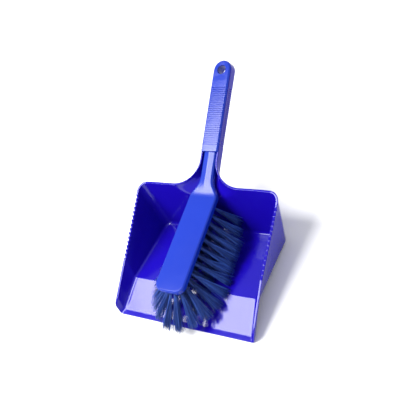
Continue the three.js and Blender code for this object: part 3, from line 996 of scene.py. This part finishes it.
def moulded_plastic(name, color, deep, roughness, rough_gain, grain, grain_scale):
    m = Nodes(name)
    cloud = m.noise(CLOUD_SCALE, 4)
    m.link("Base Color", m.mix(m.ramp(cloud, 0.3, 0.7, 0, 1), color, deep))
    stretched = {"Vector": m.place, "Scale": SCUFF_STRETCH}
    stretch = m.add("ShaderNodeMapping", stretched, vector_type="POINT")
    scuffs = m.noise(1.0, 2, vector=stretch.outputs["Vector"])
    haze = m.noise(HAZE_SCALE, 5, 0.6)
    worn = m.math("ADD", m.ramp(haze, 0.35, 0.75, 0, 0.6), m.ramp(scuffs, 0.55, 0.8, 0, 0.4))
    m.link("Roughness", m.ramp(worn, 0, 1, roughness, roughness + rough_gain))
    fine = m.noise(grain_scale, 2)
    wave = m.noise(WAVE_SCALE, 1)
    waves = m.math("MULTIPLY", wave, WAVE_HEIGHT)
    m.bump(m.math("ADD", m.math("MULTIPLY", fine, grain), waves), *PLASTIC_BUMP)
    m.shader.inputs["IOR"].default_value = PLASTIC_IOR
    m.shader.inputs["Specular IOR Level"].default_value = PLASTIC_SPECULAR
    return m.material


def filament_material():
    m = Nodes("filament")
    island = m.add("ShaderNodeNewGeometry").outputs["Random Per Island"]
    tone = m.math("POWER", island, FILAMENT_TONE_POWER)
    base = m.mix(tone, FILAMENT_DARK, FILAMENT_LIGHT)
    fine = m.noise(FILAMENT_GRAIN, 2)
    m.link("Base Color", m.mix(m.ramp(fine, 0.4, 0.7, 0, 0.3), base, FILAMENT_WORN))
    m.link("Roughness", m.ramp(fine, 0.3, 0.7, 0.38, 0.55))
    m.shader.inputs["Specular IOR Level"].default_value = FILAMENT_SPECULAR
    m.bump(fine, *FILAMENT_BUMP)
    return m.material


def table_material():
    m = Nodes("table")
    soft = m.noise(3, 2)
    m.link("Base Color", m.mix(soft, TABLE_LOW, TABLE_HIGH))
    m.shader.inputs["Roughness"].default_value = TABLE_ROUGHNESS
    return m.material


# ---- Camera and light ----
def make_camera():
    """The photo's view: turned about Z, raised, then rolled about its own axis."""
    azimuth, elevation, roll = (math.radians(v) for v in (AZIMUTH, ELEVATION, ROLL))
    x, y, z = CAMERA_TARGET
    target = Vector((x, PAN_LOW.y + y, PAN_LOW.z + z))
    back = Vector((
        math.sin(azimuth) * math.cos(elevation),
        -math.cos(azimuth) * math.cos(elevation),
        math.sin(elevation),
    ))
    right = (-back).cross(Vector((0, 0, 1))).normalized()
    top = right.cross(-back)
    right, top = (
        right * math.cos(roll) + top * math.sin(roll),
        top * math.cos(roll) - right * math.sin(roll),
    )
    data = bpy.data.cameras.new("camera")
    data.sensor_width = SENSOR
    data.lens = LENS
    camera = bpy.data.objects.new("camera", data)
    where = target + back * CAMERA_DISTANCE
    rows = [[right[i], top[i], back[i], where[i]] for i in range(3)] + [[0, 0, 0, 1]]
    camera.matrix_world = Matrix(rows)
    bpy.context.scene.collection.objects.link(camera)
    bpy.context.scene.camera = camera


def soft_box(name, centre, size, power):
    """A rectangular light that faces straight down."""
    data = bpy.data.lights.new(name, "AREA")
    data.shape = "RECTANGLE"
    data.size, data.size_y = size
    data.energy = power
    light = bpy.data.objects.new(name, data)
    light.location = centre
    bpy.context.scene.collection.objects.link(light)


def make_stage():
    """The table under the part, a plain world and one soft box overhead."""
    mesh = bpy.data.meshes.new("table")
    signs = ((-1, -1), (1, -1), (1, 1), (-1, 1))
    corners = [(TABLE_HALF * x, TABLE_HALF * y, PAN_LOW.z) for x, y in signs]
    mesh.from_pydata(corners, [], [(0, 1, 2, 3)])
    mesh.materials.append(table_material())
    table = bpy.data.objects.new("table", mesh)
    bpy.context.scene.collection.objects.link(table)
    world = bpy.data.worlds.new("studio")
    world.use_nodes = True
    background = world.node_tree.nodes["Background"]
    background.inputs["Color"].default_value = WORLD_COLOR
    background.inputs["Strength"].default_value = WORLD_STRENGTH
    bpy.context.scene.world = world
    soft_box("overhead", OVERHEAD_PLACE, OVERHEAD_SIZE, OVERHEAD_POWER)
    bpy.context.scene.view_settings.view_transform = "Standard"


# ---- Build ----
make_camera()
make_stage()

pan_plastic = moulded_plastic(
    "pan_plastic", PAN_BLUE, PAN_BLUE_DEEP,
    roughness=0.09, rough_gain=0.08, grain=0.15, grain_scale=900)
brush_plastic = moulded_plastic(
    "brush_plastic", BRUSH_BLUE, BRUSH_BLUE_DEEP,
    roughness=0.2, rough_gain=0.08, grain=0.5, grain_scale=1400)
filament = filament_material()

pan = pan_shell().object("pan_moulding", pan_plastic)
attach(pan, "pan")
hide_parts("pan")

body = brush_shell().object("brush_moulding", brush_plastic)
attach(body, "brush")
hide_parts("brush_body")

rng = random.Random(SEED)
for index, (x, d) in enumerate(tuft_places()):
    node = "tuft_" + str(index + 1).zfill(2)
    mesh = tuft_mesh("filaments_" + node, x, d, rng)
    mesh.materials.append(filament)
    tuft = bpy.data.objects.new("filaments_" + node, mesh)
    bpy.context.scene.collection.objects.link(tuft)
    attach(tuft, "brush")
    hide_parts(node)
